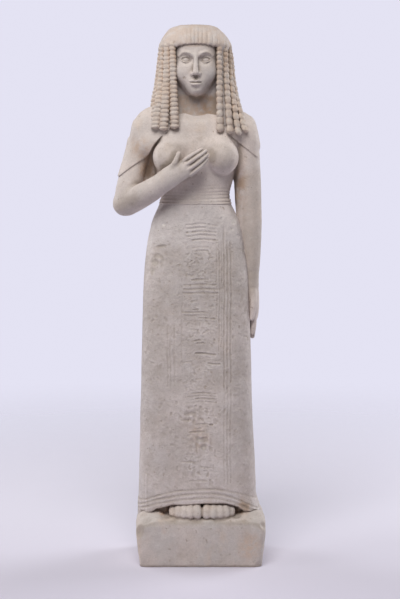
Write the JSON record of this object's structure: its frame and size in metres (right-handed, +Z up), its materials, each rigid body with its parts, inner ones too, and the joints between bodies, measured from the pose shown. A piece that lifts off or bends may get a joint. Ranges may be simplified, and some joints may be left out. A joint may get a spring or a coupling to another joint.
{
  "type": "standing female statue",
  "caption": "Stone statue of a standing woman with beaded locks, a cape, a ribbed belt and a long skirt, one hand on the breast, on a low plinth.",
  "frame": {"origin": "middle of the plinth's flat underside", "axes": "+Z up the figure, -Y towards the front that the figure faces, +X towards the figure's own left side"},
  "size_m": [0.2996, 0.19, 1.05],
  "materials": {
    "marble": "matt, tooled and weathered white marble with warm stains"
  },
  "bodies": {
    "root": {"statue": "marble"}
  },
  "joints": []
}
